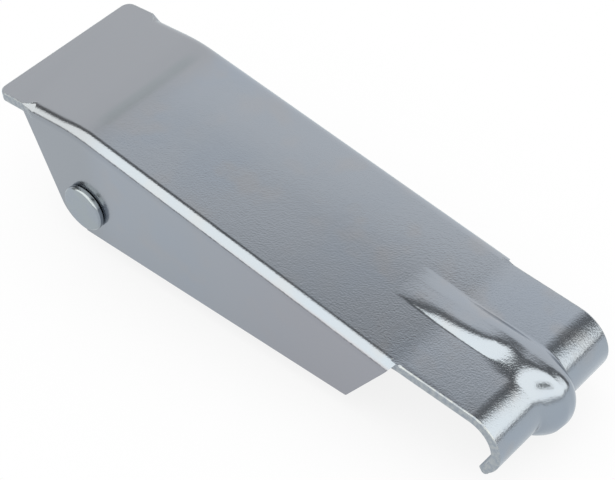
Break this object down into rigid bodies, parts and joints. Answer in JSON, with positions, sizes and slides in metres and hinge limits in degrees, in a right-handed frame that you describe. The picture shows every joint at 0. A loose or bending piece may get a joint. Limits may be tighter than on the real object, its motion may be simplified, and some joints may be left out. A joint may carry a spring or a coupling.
{
  "type": "toggle latch",
  "caption": "Over-centre toggle latch: a pressed steel hook arm with a thumb tab and a ribbed, curled hook, hung on a pinned link that swings on a screw-down base bracket.",
  "frame": {"origin": "middle of the four screw holes, on the underside of the base bracket, which lies on the panel", "axes": "+X along the latch towards the hook, +Z away from the panel, +Y across the latch, parallel to both pins"},
  "size_m": [0.1617, 0.0502, 0.0394],
  "materials": {
    "arm_plate": "bright zinc plate on smooth sheet, faint blue and lilac tint",
    "rivet_metal": "bright zinc plate on turned steel",
    "link_plate": "bright zinc plate on smooth sheet",
    "bracket_plate": "bright zinc plate on smooth sheet",
    "spacer_metal": "bright zinc plate, turned"
  },
  "bodies": {
    "base": {"base_bracket": "bracket_plate", "base_rivet": "rivet_metal"},
    "link": {"toggle_link": "link_plate"},
    "pin": {"arm_rivet": "rivet_metal", "near_spacer": "spacer_metal", "far_spacer": "spacer_metal"},
    "arm": {"hook_arm": "arm_plate"}
  },
  "joints": [
    {"name": "link_swing", "type": "hinge", "parent": "base", "child": "link", "pos_m": [-0.0384, 0, 0.01655], "axis": [0, 1, 0], "range_deg": [0, 150]},
    {"name": "pin_level", "type": "hinge", "parent": "link", "child": "pin", "pos_m": [-0.05529, 0, 0.01462], "axis": [0, -1, 0], "range_deg": [0, 150]},
    {"name": "arm_lift", "type": "hinge", "parent": "pin", "child": "arm", "pos_m": [-0.05529, 0, 0.01462], "axis": [0, -1, 0], "range_deg": [0, 55]}
  ],
  "couplings": [
    {"joint": "pin_level", "follows": "link_swing", "ratio": 1}
  ]
}
